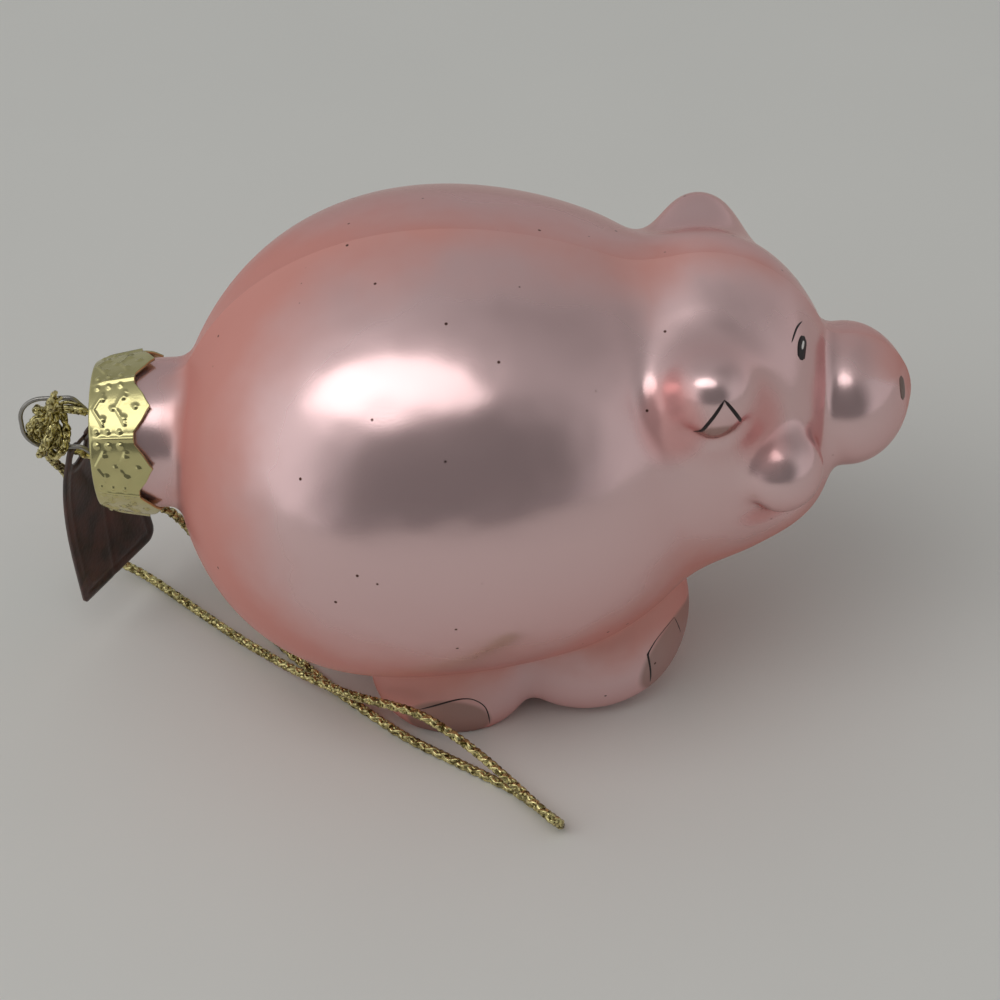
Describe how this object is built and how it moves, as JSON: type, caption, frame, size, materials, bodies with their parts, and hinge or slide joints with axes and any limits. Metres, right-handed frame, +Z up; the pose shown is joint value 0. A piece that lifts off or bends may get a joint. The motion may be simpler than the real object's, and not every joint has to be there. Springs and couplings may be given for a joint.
{
  "type": "pig figurine",
  "caption": "Hollow blown-glass pig that stands on moulded feet, with a crown cap on a rump neck, a wire hanger, a knotted metallic cord loop and a swing tag.",
  "frame": {"origin": "middle of the object's length and width at floor level, without the cord, its knot and its tag", "axes": "+X towards the snout, +Y to the pig's left, +Z up"},
  "size_m": [0.0964, 0.0597, 0.0574],
  "materials": {
    "lacquered_glass": "silvered inside, pearly satin pink lacquer outside, with black painted eyes and pale grey hooves",
    "gold_cap": "thin embossed sheet with a pale gold plating",
    "steel_wire": "thin sprung wire, slightly dulled",
    "metallic_cord": "fine braid of gold foil yarn",
    "leatherette": "thin dark brown leatherette with a low gloss"
  },
  "bodies": {
    "glass": {"glass_body": "lacquered_glass"},
    "cap": {"crown_cap": "gold_cap"},
    "hanger": {"hanger_wire": "steel_wire", "cord_knot": "metallic_cord", "cord_loop": "metallic_cord"},
    "tag": {"swing_tag": "leatherette"}
  },
  "joints": [
    {"name": "cap_pull", "type": "slide", "parent": "glass", "child": "cap", "axis": [-1, 0, 0], "range_m": [0, 0.025]},
    {"name": "wire_slide", "type": "slide", "parent": "cap", "child": "hanger", "axis": [-1, 0, 0], "range_m": [0, 0.003]},
    {"name": "tag_swing", "type": "hinge", "parent": "hanger", "child": "tag", "pos_m": [-0.04314, 0.00368, 0.027], "axis": [0.2795, 0.9601, 0], "range_deg": [-6, 10]}
  ]
}
